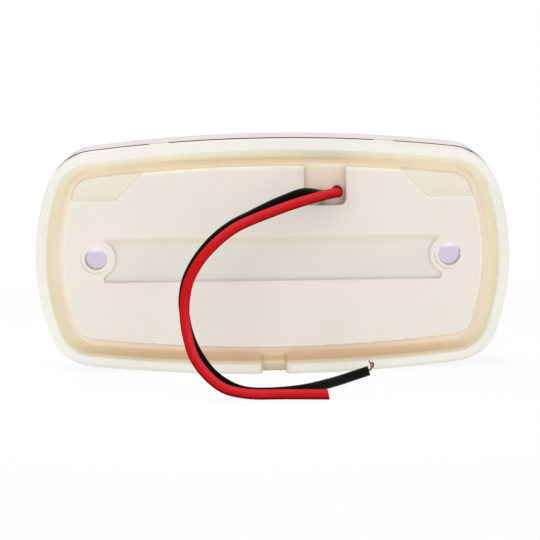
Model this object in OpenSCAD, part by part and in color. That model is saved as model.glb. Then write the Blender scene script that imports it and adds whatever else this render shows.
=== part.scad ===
// Surface-mount trailer marker and tail lamp: cream base, red clip-on lens, two bare leads.
// The lamp hangs upright: +Z up, lens towards -Y, and the plane of the rear rim at y = 0.
// Shapes are drawn lying on their back, with depth along local z, and upright() turns them.

/* [Outline] */
// Width across the side bows
body_w = 101.6; // [99:0.2:108]
// Height across the top and bottom bows
body_h = 50.6; // [49.6:0.2:55.6]
// Radius of the top and bottom bows
bow_r = 340; // [300:5:400]
// Radius of the side bows
side_r = 49; // [46:1:56]
// Radius of the corners
corner_r = 10; // [9.5:0.5:13]

/* [Base housing] */
// Depth of the base from its rear rim to the shelf under the lens
base_depth = 8; // [7.4:0.2:10]
// Width of the flat rear rim
rim_w = 2.2; // [1.8:0.1:2.6]
// Width of the groove inside the rim
moat_w = 3.4; // [3:0.1:3.8]
// Depth of the groove below the rim
moat_depth = 5.2; // [4.6:0.1:5.6]
// Width of the slope on the groove's outer side
moat_slope = 1.3; // [0.8:0.1:1.6]
// Depth of the central panel below the rim
panel_recess = 2.5; // [1.8:0.1:2.8]
// Thickness of the moulded walls
wall_t = 1.6; // [1.4:0.1:1.8]
// Depth of the shallow recesses moulded into the panel
relief_depth = 1.2; // [0.8:0.1:1.3]
// Height of the long central channel
channel_h = 10; // [9:0.2:11]
// Width of the channel's sloped upper side
channel_slope = 1.9; // [1.4:0.1:2.4]
// Distance of the channel's middle below the holes
channel_drop = 0.2; // [0:0.1:0.6]
// Distance from a mounting hole to the channel's end
channel_end = 1.7; // [1.2:0.1:2.2]
// Height of the recessed corners' lower edge above the holes
facet_z = 12.5; // [11:0.1:13]
// Distance of the recessed corners' inner ends from the lamp's middle
facet_x = 33.5; // [32:0.5:35]
// Width of the weep notch in the lower rim
notch_w = 5.1; // [4:0.1:6]
// Depth of the weep notch
notch_depth = 4.4; // [3:0.1:4.5]
// Bevel at the mouth of the weep notch
notch_bevel = 0.9; // [0.5:0.1:1.2]

/* [Mounting holes] */
// Spacing of the two mounting holes
hole_spacing = 76.2; // [75:0.1:77]
// Diameter of the mounting holes
hole_d = 4.75; // [4.2:0.05:5]
// Radius of the round island around each hole
boss_r = 4.3; // [4:0.1:4.6]
// Height of the boss top above the rear rim
boss_top = 6.5; // [6:0.1:6.8]

/* [Wire slot] */
// Width of the slot that the wires leave by
slot_w = 8.8; // [8:0.2:9.6]
// Distance of the slot's middle from the lamp's middle
slot_x = 11.4; // [10.8:0.1:12]
// Height of the slot's lower end above the holes
slot_z = 11; // [10.4:0.1:11.4]
// Radius of the slot's lower corners
slot_r = 1.2; // [0.8:0.1:1.6]

/* [Lens] */
// Depth from the rear rim to the flat front of the lens
lens_front = 26; // [24:0.5:30]
// Wall thickness of the lens
lens_t = 2; // [1.6:0.1:2.2]
// Bevel around the front of the lens
lens_bevel = 1.2; // [0.8:0.1:1.6]
// Clearance between the lens and the lip it slides over
lens_gap = 0.3; // [0.2:0.05:0.4]
// Thickness of the gasket under the lens
seal_t = 0.8; // [0.6:0.1:1]
// Height of the base's lip above the gasket
lip_h = 4; // [3:0.5:6]
// Radius of the screw wells through the lens
well_r = 5.5; // [5:0.1:5.6]
// Clearance of the mounting hole in the well floor
well_hole_gap = 0.15; // [0.1:0.05:0.3]
// Radius of each bullseye
eye_r = 13.5; // [12:0.5:14]
// Distance of each bullseye from the lamp's middle
eye_x = 15.5; // [15:0.1:16]
// Height of the bullseye's crown above the lens front
eye_h = 1.5; // [1:0.1:2.5]
// Number of raised rings on each bullseye
eye_rings = 3; // [2:1:4]

/* [Stand-off pads] */
// Width of the pads between lens and base
pad_w = 4.2; // [3:0.2:5]
// Distance of the pads from the lamp's middle
pad_x = 24.3; // [22:0.2:26]

/* [Circuit board] */
// Width of the board
board_w = 59; // [57:0.5:60]
// Height of the board
board_h = 32; // [31.5:0.5:33]
// Thickness of the board
board_t = 1.6; // [1.2:0.1:1.8]
// Distance of the board's back from the rear rim
board_z = 10; // [9.8:0.1:10.4]
// Distance of the two screw posts from the lamp's middle
post_z = 12.5; // [12:0.1:13]
// Radius of the screw posts
post_r = 2.6; // [2.2:0.1:3]
// Diameter of the board screws
screw_d = 2.2; // [2:0.1:2.4]
// Diameter of the board screws' heads
screw_head_d = 4.4; // [4:0.1:4.8]

/* [Light-emitting diodes] */
// Diameter of the diodes' lens bodies
led_d = 5; // [4.6:0.1:5]
// Height of the diodes above the board
led_h = 8.6; // [7.5:0.1:8.8]
// Distance of each diode from the bullseye's axes
led_pitch = 4.5; // [4:0.1:4.8]

/* [Wires] */
// Diameter of the two insulated wires
wire_d = 2.1; // [2:0.1:2.4]
// Clearance of the wires in their holes
wire_gap = 0.1; // [0.05:0.05:0.15]

/* [Hidden] */

$fn = 64;
eps = 0.01;
far = 60;

lamp_floor = -body_h / 2;
hole_x = hole_spacing / 2;
shelf_z = base_depth;
lens_z = shelf_z + seal_t;
lip_top = lens_z + lip_h;
lip_out = lens_t + lens_gap;
lip_in = lip_out + wall_t;
panel_inset = rim_w + moat_w;
floor_in = panel_recess + relief_depth + wall_t;
ridge_top = moat_depth + wall_t;
ridge_inset = panel_inset + wall_t;
well_floor = lens_z - lens_t;
well_clear_r = well_r + wall_t + lens_gap;
board_top = board_z + board_t;
wire_r = wire_d / 2;
seal_inset = 0.2;
seal_end = 0.1;

// Wire exits in the slot, and what the board's holes leave around each leg
red_at = [-14.1, 13.7];
black_at = [-10.5, 12.8];
sealant_at = (red_at + black_at) / 2;
sealant_r = 4.4;
sealant_t = 1.6;
leg_r = 0.25;
leg_gap = 0.1;
leg_out = 1.1;
strand_r = 0.5;
solder_h = 0.8;
solder_foot = 0.55;
solder_neck = 0.12;

// Through-hole parts between the two bullseyes
part_pitch = 10;
resistor_x = [-6, -2];
resistor_r = 1.15;
resistor_l = 6.2;
diode_x = 2;
diode_r = 1.35;
diode_l = 5.2;
axial_leg_r = 0.3;
capacitor_at = [6.4, 0];
capacitor_r = 2.4;
capacitor_h = 6;
capacitor_pitch = 2;
led_pitch_legs = 2.54;
led_flange_t = 1;
led_flange_w = 0.4;

// Routes of the free wires: out of the slot, round in a wide bow, and along the ground
on_ground = lamp_floor + wire_r;
RED_ROUTE = [[-14.1, -moat_depth, 13.7], [-14.1, -2.5, 13.7], [-14.1, 0.5, 13.9],
             [-13.7, 4, 14.2], [-12.4, 7.6, 14.3], [-9.8, 10.7, 14], [-6.5, 13, 13.3],
             [-3, 14.9, 12.4], [0.5, 16.6, 11.3], [4.1, 18.2, 10.1], [7.8, 19.6, 8.5],
             [11.4, 20.8, 5.9], [14.7, 21.8, 2.5], [17.1, 22.5, -1.5], [18.1, 23.2, -5.5],
             [18.2, 24.2, -9.3], [17.6, 25.5, -13.1], [16.3, 27.2, -17], [13.7, 29, -20.4],
             [10.4, 30.1, -22.9], [6.8, 30.5, -23.9], [3, 30.6, on_ground], [-1.5, 30.6, on_ground],
             [-6, 31, on_ground], [-10.9, 31.6, on_ground]];
BLACK_ROUTE = [[-10.5, -moat_depth, 12.8], [-10.5, -2.5, 12.8], [-10.4, 0.3, 13.1],
               [-9.8, 3.6, 13.8], [-8.4, 6.7, 14.4], [-6, 9.5, 14.6], [-2.5, 12.1, 13.6],
               [1, 14.1, 12.3], [4.6, 15.8, 10.7], [8.3, 17.3, 9], [12, 18.5, 6.3],
               [15.3, 19.4, 2.6], [17.6, 20.1, -1.5], [18.5, 20.9, -5.7], [18.2, 22, -9.6],
               [17.3, 23.3, -13.3], [15.5, 25, -16.9], [13, 26.8, -20.1], [10, 27.7, -22.4],
               [6.7, 28.2, -23.8], [3, 28.3, on_ground], [-1.5, 27.7, on_ground],
               [-6, 25, on_ground], [-9.7, 20.6, on_ground], [-13.3, 15.6, -24.2],
               [-16.7, 11.3, -23.9], [-20.1, 7.6, -23.5]];
STRAND_ROUTES = [
    [[-20.1, 7.6, -23.5], [-20.4, 7.3, -23.4], [-20.8, 7.2, -22.9], [-20.9, 7.2, -22.3],
     [-20.6, 7.3, -21.9]],
    [[-20.1, 7.6, -23.3], [-20.5, 7.2, -23.2], [-21, 7.1, -22.8], [-21.1, 7, -22.2],
     [-20.8, 7, -21.7]],
    [[-20.2, 7.5, -23.4], [-20.5, 7.2, -23.2], [-20.6, 7, -22.6], [-20.4, 7, -22],
     [-20.1, 7.1, -21.5]],
];
wire_sides = 8;
strand_sides = 6;
free_strand_r = 0.14;

// Turn a shape that lies on its back so that its depth runs towards -Y
module upright() {
    rotate([90, 0, 0]) children();
}

// Both mirror images of something, left and right
module both_sides() {
    children();
    mirror([1, 0, 0]) children();
}

// Centre of the upper right corner's arc, which touches the top bow and the side bow
bow_steps = 12;
side_steps = 8;
corner_steps = 8;
corner_top = [0, body_h / 2 - bow_r];
corner_side = [body_w / 2 - side_r, 0];
corner_d = norm(corner_side - corner_top);
corner_a = bow_r - corner_r;
corner_b = side_r - corner_r;
corner_u = (corner_side - corner_top) / corner_d;
corner_s = (corner_a * corner_a - corner_b * corner_b + corner_d * corner_d) / (2 * corner_d);
corner_h = sqrt(corner_a * corner_a - corner_s * corner_s);
corner_c = corner_top + corner_s * corner_u + corner_h * [corner_u.y, -corner_u.x];
corner_n1 = corner_c - corner_top;
corner_n2 = corner_c - corner_side;
bow_from = atan2(corner_n1.y, corner_n1.x);
side_to = atan2(corner_n2.y, corner_n2.x);

// Points along an arc, without its last one
function arc(centre, r, from, to, steps) =
    [for (i = [0:steps - 1]) let (a = from + (to - from) * i / steps)
     centre + r * [cos(a), sin(a)]];

// The corner's centre in each quadrant, and the arc around it
function corner_arc(sx, sy, inset, from, to) =
    arc([sx * corner_c.x, sy * corner_c.y], corner_r - inset, from, to, corner_steps);

// The barrel outline, moved inwards by inset: four bows and four round corners
module barrel(inset = 0) {
    side = side_r - inset;
    bow = bow_r - inset;
    polygon(concat(
        arc(corner_side, side, -side_to, side_to, side_steps),
        corner_arc(1, 1, inset, side_to, bow_from),
        arc(corner_top, bow, bow_from, 180 - bow_from, bow_steps),
        corner_arc(-1, 1, inset, 180 - bow_from, 180 - side_to),
        arc(-corner_side, side, 180 - side_to, 180 + side_to, side_steps),
        corner_arc(-1, -1, inset, 180 + side_to, 180 + bow_from),
        arc(-corner_top, bow, 180 + bow_from, 360 - bow_from, bow_steps),
        corner_arc(1, -1, inset, -bow_from, -side_to)));
}

// A slab of the barrel outline between two depths
module slab(z0, z1, inset = 0) {
    translate([0, 0, z0]) linear_extrude(z1 - z0) barrel(inset);
}

// A ring of the barrel outline between two insets and two depths
module ring(z0, z1, outer, inner) {
    translate([0, 0, z0]) linear_extrude(z1 - z0) difference() {
        barrel(outer);
        barrel(inner);
    }
}

// The hollow back: the recess over the panel and the groove around it, sloped on its outer side
module back_cut() {
    difference() {
        hull() {
            slab(-eps, 0, rim_w);
            slab(moat_depth - eps, moat_depth, rim_w + moat_slope);
        }
        slab(panel_recess, far, panel_inset);
    }
}

// The long channel: sloped along its upper side and stopped by the round islands
module channel_cut() {
    top = channel_h / 2 - channel_drop;
    low = top - channel_h;
    draft = relief_depth / 8;
    difference() {
        translate([-hole_x + channel_end, 0, panel_recess]) rotate([90, 0, 90])
            linear_extrude(hole_spacing - 2 * channel_end)
                polygon([[top, 0], [top, -eps], [low, -eps], [low, 0],
                         [low + draft, relief_depth], [top - channel_slope, relief_depth]]);
        both_sides() translate([hole_x, 0, 0]) cylinder(r = boss_r, h = far);
    }
}

// One recessed upper corner of the panel, cut on a slant towards the middle
module facet_cut() {
    rise = body_h / 2 - facet_z;
    translate([0, 0, panel_recess - eps]) linear_extrude(relief_depth + eps)
        polygon([[body_w / 2, facet_z], [facet_x, facet_z], [facet_x - rise, facet_z + rise],
                 [body_w / 2, facet_z + rise]]);
}

// The slot that the wires leave by, open into the groove at its upper end
module slot_outline(grow = 0) {
    low = slot_z - grow;
    r = slot_r + grow;
    x0 = -slot_x - slot_w / 2 - grow;
    x1 = -slot_x + slot_w / 2 + grow;
    for (x = [x0 + r, x1 - r]) translate([x, low + r]) circle(r = r);
    translate([x0 + r, low]) square([x1 - x0 - 2 * r, 2 * r]);
    translate([x0, low + r]) square([x1 - x0, body_h / 2 - panel_inset - low - r + 1]);
}

// The weep notch through the lower rim, bevelled at its mouth
module notch_cut() {
    half = notch_w / 2;
    translate([0, -body_h / 2 + panel_inset - 1, 0]) rotate([90, 0, 0]) linear_extrude(far)
        polygon([[-half - notch_bevel, -eps], [-half, notch_bevel], [-half, notch_depth],
                 [half, notch_depth], [half, notch_bevel], [half + notch_bevel, -eps]]);
}

module board_posts() {
    for (y = [-post_z, post_z]) translate([0, y, floor_in - eps]) difference() {
        cylinder(r = post_r, h = board_z - floor_in + eps);
        translate([0, 0, wall_t]) cylinder(d = screw_d, h = board_z);
    }
}

module base_housing() {
    color([0.95, 0.93, 0.88]) upright() difference() {
        union() {
            difference() {
                union() {
                    slab(0, shelf_z);
                    ring(ridge_top, lip_top, lip_out, lip_in);
                }
                slab(floor_in, lip_top + 1, ridge_inset);
                slab(ridge_top, lip_top + 1, lip_in);
                both_sides() translate([hole_x, 0, ridge_top]) cylinder(r = well_clear_r, h = far);
                back_cut();
                channel_cut();
                both_sides() intersection() {
                    facet_cut();
                    slab(0, far, rim_w + moat_slope);
                }
            }
            intersection() {
                translate([0, 0, floor_in - eps])
                    linear_extrude(ridge_top - floor_in + eps) slot_outline(wall_t);
                slab(0, far, panel_inset);
            }
            both_sides() translate([hole_x, 0, panel_recess])
                cylinder(r = boss_r, h = boss_top - panel_recess);
            board_posts();
            for (s = [-1, 1], x = [-pad_x, pad_x]) intersection() {
                ring(shelf_z - eps, lens_z, 0, lens_t);
                translate([x - pad_w / 2, s > 0 ? 0 : -far, 0]) cube([pad_w, far, far]);
            }
        }
        translate([0, 0, -eps]) linear_extrude(moat_depth + eps) slot_outline();
        notch_cut();
        both_sides() translate([hole_x, 0, -1]) cylinder(d = hole_d, h = far);
        for (at = [red_at, black_at]) translate(at) cylinder(r = wire_r + wire_gap, h = far);
    }
}

// One bullseye: a low crown with raised rings on it
module bullseye() {
    crown_r = (eye_r * eye_r + eye_h * eye_h) / (2 * eye_h);
    ring_step = eye_r / (eye_rings + 1);
    bead_r = 0.4;
    rotate_extrude($fn = 96) intersection() {
        translate([0, eye_h - crown_r]) circle(r = crown_r, $fn = 360);
        translate([0, -eps]) square([eye_r, far]);
    }
    for (i = [1:eye_rings]) {
        at = i * ring_step;
        lift = sqrt(crown_r * crown_r - at * at) - crown_r + eye_h;
        rotate_extrude($fn = 96) translate([at, lift - bead_r / 4]) circle(r = bead_r, $fn = 24);
    }
}

module lens() {
    color([0.85, 0.08, 0.1]) upright() difference() {
        union() {
            difference() {
                union() {
                    slab(lens_z, lens_front - lens_bevel);
                    hull() {
                        slab(lens_front - lens_bevel - eps, lens_front - lens_bevel);
                        slab(lens_front - eps, lens_front, lens_bevel);
                    }
                }
                slab(lens_z - 1, lens_front - lens_t, lens_t);
            }
            both_sides() translate([hole_x, 0, well_floor])
                cylinder(r = well_r + wall_t, h = lens_front - well_floor - eps);
            both_sides() translate([eye_x, 0, lens_front]) bullseye();
        }
        both_sides() translate([hole_x, 0, lens_z]) cylinder(r = well_r, h = far);
        both_sides() translate([hole_x, 0, 0]) cylinder(r = hole_d / 2 + well_hole_gap, h = far);
    }
}

module lens_gasket() {
    color([0.13, 0.13, 0.13]) upright() difference() {
        ring(shelf_z, lens_z, seal_inset, lens_t - seal_inset / 2);
        for (x = [-pad_x, pad_x]) translate([x - pad_w / 2 - seal_end, -far, 0])
            cube([pad_w + 2 * seal_end, 2 * far, far]);
        both_sides() translate([hole_x, 0, 0]) cylinder(r = well_clear_r, h = far);
    }
}

// Places of the eight diodes, four around the axis of each bullseye
LED_AT = [for (ex = [-eye_x, eye_x], sy = [1, -1], sx = [-1, 1])
          [ex + sx * led_pitch, sy * led_pitch]];

// Places and radii of every leg that goes through the board
LED_LEGS = [for (at = LED_AT, s = [-1, 1]) at + [s * led_pitch_legs / 2, 0]];
AXIAL_LEGS = [for (x = [resistor_x[0], resistor_x[1], diode_x], s = [-1, 1])
              [x, s * part_pitch / 2]];
CAPACITOR_LEGS = [for (s = [-1, 1]) capacitor_at + [s * capacitor_pitch / 2, 0]];

module circuit_board() {
    color([0.12, 0.38, 0.2]) upright() translate([0, 0, board_z]) difference() {
        translate([-board_w / 2, -board_h / 2, 0]) cube([board_w, board_h, board_t]);
        for (y = [-post_z, post_z]) translate([0, y, -1]) cylinder(d = screw_d + 0.3, h = far);
        for (at = concat(LED_LEGS, CAPACITOR_LEGS)) translate([at.x, at.y, -1])
            cylinder(r = leg_r + leg_gap, h = far, $fn = 24);
        for (at = AXIAL_LEGS) translate([at.x, at.y, -1])
            cylinder(r = axial_leg_r + leg_gap, h = far, $fn = 24);
        for (at = [red_at, black_at]) translate([at.x, at.y, -1])
            cylinder(r = strand_r + leg_gap, h = far, $fn = 24);
    }
}

module board_screws() {
    head_t = 1.4;
    slot_t = 0.6;
    tip = floor_in + wall_t + 0.3;
    color([0.7, 0.7, 0.72]) upright() for (y = [-post_z, post_z])
        translate([0, y, 0]) difference() {
            union() {
                translate([0, 0, tip]) cylinder(d = screw_d - 0.1, h = board_top - tip + eps);
                translate([0, 0, board_top]) cylinder(d = screw_head_d, h = head_t);
            }
            for (turn = [0, 90]) translate([0, 0, board_top + head_t]) rotate(turn)
                cube([screw_head_d * 0.6, slot_t, head_t], center = true);
        }
}

// One diode, seated on the board
module led(i) {
    body_r = led_d / 2;
    color([0.9, 0.25, 0.25, 0.8]) upright() translate([LED_AT[i].x, LED_AT[i].y, board_top]) {
        cylinder(r = body_r + led_flange_w, h = led_flange_t, $fn = 48);
        cylinder(r = body_r, h = led_h - body_r, $fn = 48);
        translate([0, 0, led_h - body_r]) sphere(r = body_r, $fn = 48);
    }
}

// A straight leg from the front of the board to just behind it
module leg(at, r, top) {
    translate([at.x, at.y, board_z - leg_out]) cylinder(r = r, h = top - board_z + leg_out, $fn = 24);
}

module led_legs() {
    color([0.78, 0.78, 0.78]) upright() for (at = LED_LEGS) leg(at, leg_r, board_top);
}

module resistor(i) {
    color([0.82, 0.7, 0.5]) upright() axial_body(resistor_x[i], resistor_r, resistor_l);
}

// Round body of an axial part lying across the board
module axial_body(x, r, length) {
    translate([x, length / 2, board_top + diode_r]) rotate([90, 0, 0]) cylinder(r = r, h = length, $fn = 32);
}

module polarity_diode() {
    color([0.15, 0.15, 0.16]) upright() axial_body(diode_x, diode_r, diode_l);
}

module capacitor() {
    color([0.1, 0.12, 0.2]) upright() translate([capacitor_at.x, capacitor_at.y, board_top])
        cylinder(r = capacitor_r, h = capacitor_h, $fn = 48);
}

// The bent leg at one end of an axial part
module axial_leg(x, side, length) {
    bend = [x, side * part_pitch / 2, board_top + diode_r];
    leg([bend.x, bend.y], axial_leg_r, bend.z);
    translate(bend) sphere(r = axial_leg_r, $fn = 24);
    translate(bend) rotate([side * 90, 0, 0])
        cylinder(r = axial_leg_r, h = (part_pitch - length) / 2, $fn = 24);
}

module component_legs() {
    color([0.75, 0.75, 0.75]) upright() {
        for (side = [-1, 1]) {
            for (x = resistor_x) axial_leg(x, side, resistor_l);
            axial_leg(diode_x, side, diode_l);
        }
        for (at = CAPACITOR_LEGS) leg(at, leg_r, board_top);
    }
}

// A cone of solder around a leg, narrow end away from the board
module solder_cone(at, r, turned) {
    translate([at.x, at.y, turned ? board_z : board_top]) mirror([0, 0, turned ? 1 : 0])
        difference() {
            cylinder(r1 = r + solder_foot, r2 = r + solder_neck, h = solder_h, $fn = 24);
            translate([0, 0, -1]) cylinder(r = r, h = far, $fn = 24);
        }
}

module solder_joints() {
    color([0.75, 0.76, 0.78]) upright() {
        for (at = concat(LED_LEGS, CAPACITOR_LEGS)) solder_cone(at, leg_r, true);
        for (at = AXIAL_LEGS) solder_cone(at, axial_leg_r, true);
    }
}

module wire_solder() {
    color([0.75, 0.76, 0.78]) upright()
        for (at = [red_at, black_at]) solder_cone(at, strand_r, false);
}

module wire_sealant() {
    color([0.92, 0.9, 0.84]) upright() difference() {
        translate([sealant_at.x, sealant_at.y, ridge_top]) cylinder(r = sealant_r, h = sealant_t);
        for (at = [red_at, black_at]) translate([at.x, at.y, 0]) cylinder(r = wire_r, h = far);
    }
}

// The insulated end of a wire inside the lamp, from the slot's floor to the board
module lead_in(at) {
    translate([at.x, at.y, moat_depth]) cylinder(r = wire_r, h = board_z - moat_depth - leg_gap);
}

module red_lead_in() {
    color([0.8, 0.1, 0.12]) upright() lead_in(red_at);
}

module black_lead_in() {
    color([0.12, 0.12, 0.12]) upright() lead_in(black_at);
}

module lead_in_strands() {
    color([0.75, 0.45, 0.25]) upright() for (at = [red_at, black_at])
        translate([at.x, at.y, board_z - leg_gap])
            cylinder(r = strand_r, h = board_t + leg_gap + 1.4 * solder_h, $fn = 24);
}

function unit(v) = v / norm(v);

// Direction of a route at each of its points
function headings(route) = [for (i = [0:len(route) - 1])
    unit(route[min(i + 1, len(route) - 1)] - route[max(i - 1, 0)])];

// A side vector carried along the route without twisting
function carried(heading, i, side) =
    i == len(heading) ? [] :
    let (s = unit(side - (side * heading[i]) * heading[i]))
    concat([s], carried(heading, i + 1, s));

// A round tube swept along a route, closed at both ends
module tube(route, r, sides) {
    heading = headings(route);
    side = carried(heading, 0, [0, 0, 1]);
    last = (len(route) - 1) * sides;
    points = [for (i = [0:len(route) - 1], k = [0:sides - 1])
        route[i] + r * (cos(k * 360 / sides) * side[i]
                        + sin(k * 360 / sides) * cross(heading[i], side[i]))];
    walls = [for (i = [0:len(route) - 2], k = [0:sides - 1])
        let (a = i * sides + k, b = i * sides + (k + 1) % sides)
        [a, a + sides, b + sides, b]];
    polyhedron(points, concat([[for (k = [0:sides - 1]) k]], walls,
                              [[for (k = [sides - 1:-1:0]) last + k]]), convexity = 8);
}

module red_wire() {
    color([0.83, 0.11, 0.13]) tube(RED_ROUTE, wire_r, wire_sides);
}

module black_wire() {
    color([0.14, 0.14, 0.13]) tube(BLACK_ROUTE, wire_r, wire_sides);
}

module black_strands() {
    color([0.55, 0.32, 0.25]) for (route = STRAND_ROUTES) tube(route, free_strand_r, strand_sides);
}

base_housing();
lens();
lens_gasket();
circuit_board();
board_screws();
led(0);  // led_1
led(1);  // led_2
led(2);  // led_3
led(3);  // led_4
led(4);  // led_5
led(5);  // led_6
led(6);  // led_7
led(7);  // led_8
led_legs();
resistor(0);  // resistor_1
resistor(1);  // resistor_2
polarity_diode();
capacitor();
component_legs();
solder_joints();
wire_solder();
wire_sealant();
red_lead_in();
black_lead_in();
lead_in_strands();
red_wire();
black_wire();
black_strands();
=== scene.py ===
import math
import random

import bmesh
import bpy
from mathutils import Matrix, Vector


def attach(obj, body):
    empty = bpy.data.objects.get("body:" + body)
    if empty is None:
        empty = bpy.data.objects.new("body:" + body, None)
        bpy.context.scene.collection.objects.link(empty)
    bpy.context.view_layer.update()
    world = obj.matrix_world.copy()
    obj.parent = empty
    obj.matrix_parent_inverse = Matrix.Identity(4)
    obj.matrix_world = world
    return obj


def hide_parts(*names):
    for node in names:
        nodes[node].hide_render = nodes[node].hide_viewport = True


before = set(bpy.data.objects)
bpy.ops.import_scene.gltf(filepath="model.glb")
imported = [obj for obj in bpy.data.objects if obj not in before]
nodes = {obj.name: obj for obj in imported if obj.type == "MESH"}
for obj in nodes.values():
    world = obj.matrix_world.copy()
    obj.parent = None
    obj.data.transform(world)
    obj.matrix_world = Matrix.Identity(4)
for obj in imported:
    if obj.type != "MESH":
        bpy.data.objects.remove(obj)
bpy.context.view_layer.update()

# Trailer marker lamp, seen from behind: the looks of each piece, in metres, in the CAD's frame.
MM = 0.001
random.seed(4)

# ---------------------------------------------------------------- driving sizes, as in the CAD
BODY_W, BODY_H = 101.6 * MM, 50.6 * MM
BOW_R, SIDE_R, CORNER_R = 340 * MM, 49 * MM, 10 * MM
RIM_W, MOAT_W, MOAT_DEPTH = 2.2 * MM, 3.4 * MM, 5.2 * MM
LENS_BACK, LENS_FRONT, LENS_T = 8.8 * MM, 26 * MM, 2 * MM
HOLE_X = 38.1 * MM
WELL_R, WELL_WALL, WELL_HOLE_R = 5.5 * MM, 1.6 * MM, 2.525 * MM
EYE_X, EYE_R, EYE_H = 15.5 * MM, 13.5 * MM, 1.5 * MM
FLOOR_Z = -BODY_H / 2
WIRE_D = 2.1 * MM
WIRE_R = WIRE_D / 2
LEAD_SIDES = 24

# ---------------------------------------------------------------- camera
# The lamp's middle stands at this pixel of the 540-pixel frame, at this scale and lean
FRAME_PX = 540
CENTRE_PX = (272.7, 257.9)
PX_PER_M = 4665
LEAN = 0.0146
CAMERA_DISTANCE = 0.5
CAMERA_ELEVATION = math.radians(7.0)
SENSOR_MM = 36


def add_camera():
    """Behind the lamp and a little above it, leaning by the photograph's small tilt."""
    back = Vector((0, math.cos(CAMERA_ELEVATION), math.sin(CAMERA_ELEVATION)))
    right = Vector((-1, 0, 0))
    up = back.cross(right)
    cos, sin = math.cos(LEAN), math.sin(LEAN)
    right, up = right * cos - up * sin, up * cos + right * sin
    shift_x = (CENTRE_PX[0] - FRAME_PX / 2) / PX_PER_M
    shift_y = (FRAME_PX / 2 - CENTRE_PX[1]) / PX_PER_M
    data = bpy.data.cameras.new("camera")
    data.sensor_width = SENSOR_MM
    data.lens = SENSOR_MM * CAMERA_DISTANCE * PX_PER_M / FRAME_PX
    camera = bpy.data.objects.new("camera", data)
    turn = Matrix((right, up, back)).transposed()
    place = back * CAMERA_DISTANCE - right * shift_x - up * shift_y
    camera.matrix_world = Matrix.Translation(place) @ turn.to_4x4()
    bpy.context.scene.collection.objects.link(camera)
    bpy.context.scene.camera = camera


add_camera()


# ---------------------------------------------------------------- mesh helpers
def new_object(name, mesh, body, smooth=True):
    piece = bpy.data.objects.new(name, mesh)
    bpy.context.scene.collection.objects.link(piece)
    if smooth:
        mesh.polygons.foreach_set("use_smooth", [True] * len(mesh.polygons))
    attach(piece, body)
    return piece


def mesh_of(name, points, faces):
    mesh = bpy.data.meshes.new(name)
    mesh.from_pydata([tuple(p) for p in points], [], faces)
    mesh.update()
    return mesh


ROUTE_STEPS = 6


def smooth_route(route_mm):
    """Points along a Catmull-Rom curve through the given ones, none of them under the ground."""
    points = [Vector(p) * MM for p in route_mm]
    padded = [2 * points[0] - points[1]] + points + [2 * points[-1] - points[-2]]
    out = []
    for a, b, c, d in zip(padded, padded[1:], padded[2:], padded[3:]):
        for i in range(ROUTE_STEPS):
            t = i / ROUTE_STEPS
            out.append(0.5 * (2 * b + (c - a) * t + (2 * a - 5 * b + 4 * c - d) * t * t
                              + (3 * b - a - 3 * c + d) * t ** 3))
    out.append(points[-1])
    for p in out:
        p.z = max(p.z, FLOOR_Z + WIRE_R)
    return out


def route_frames(route):
    """Heading and two side vectors at each point, carried along without twisting."""
    side = Vector((0, 0, 1))
    frames = []
    for i, point in enumerate(route):
        heading = (route[min(i + 1, len(route) - 1)] - route[max(i - 1, 0)]).normalized()
        side = (side - side.dot(heading) * heading).normalized()
        frames.append((point, heading, side, heading.cross(side)))
    return frames


def ring_points(frame_at, r, sides, forward=0.0):
    """A circle of points across a route, moved forward along it."""
    point, heading, side, other = frame_at
    angles = [2 * math.pi * k / sides for k in range(sides)]
    return [point + forward * heading + r * (math.cos(a) * side + math.sin(a) * other)
            for a in angles]


def skin(rings, closed_ends=True):
    """Points and faces of a surface through rings of equal length."""
    sides = len(rings[0])
    points = [p for ring in rings for p in ring]
    faces = []
    for i in range(len(rings) - 1):
        for k in range(sides):
            a, b = i * sides + k, i * sides + (k + 1) % sides
            faces.append((a, a + sides, b + sides, b))
    if closed_ends:
        last = (len(rings) - 1) * sides
        faces.append(tuple(range(sides)))
        faces.append(tuple(last + k for k in reversed(range(sides))))
    return points, faces


# ---------------------------------------------------------------- the two free leads
# Routes as in the CAD: out of the slot, round in a wide bow, and along the ground
ON_GROUND = FLOOR_Z / MM + WIRE_R / MM
RED_ROUTE = [(-14.1, -5.2, 13.7), (-14.1, -2.5, 13.7), (-14.1, 0.5, 13.9), (-13.7, 4, 14.2),
             (-12.4, 7.6, 14.3), (-9.8, 10.7, 14), (-6.5, 13, 13.3), (-3, 14.9, 12.4),
             (0.5, 16.6, 11.3), (4.1, 18.2, 10.1), (7.8, 19.6, 8.5), (11.4, 20.8, 5.9),
             (14.7, 21.8, 2.5), (17.1, 22.5, -1.5), (18.1, 23.2, -5.5), (18.2, 24.2, -9.3),
             (17.6, 25.5, -13.1), (16.3, 27.2, -17), (13.7, 29, -20.4), (10.4, 30.1, -22.9),
             (6.8, 30.5, -23.9), (3, 30.6, ON_GROUND), (-1.5, 30.6, ON_GROUND),
             (-6, 31, ON_GROUND), (-10.9, 31.6, ON_GROUND)]
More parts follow.
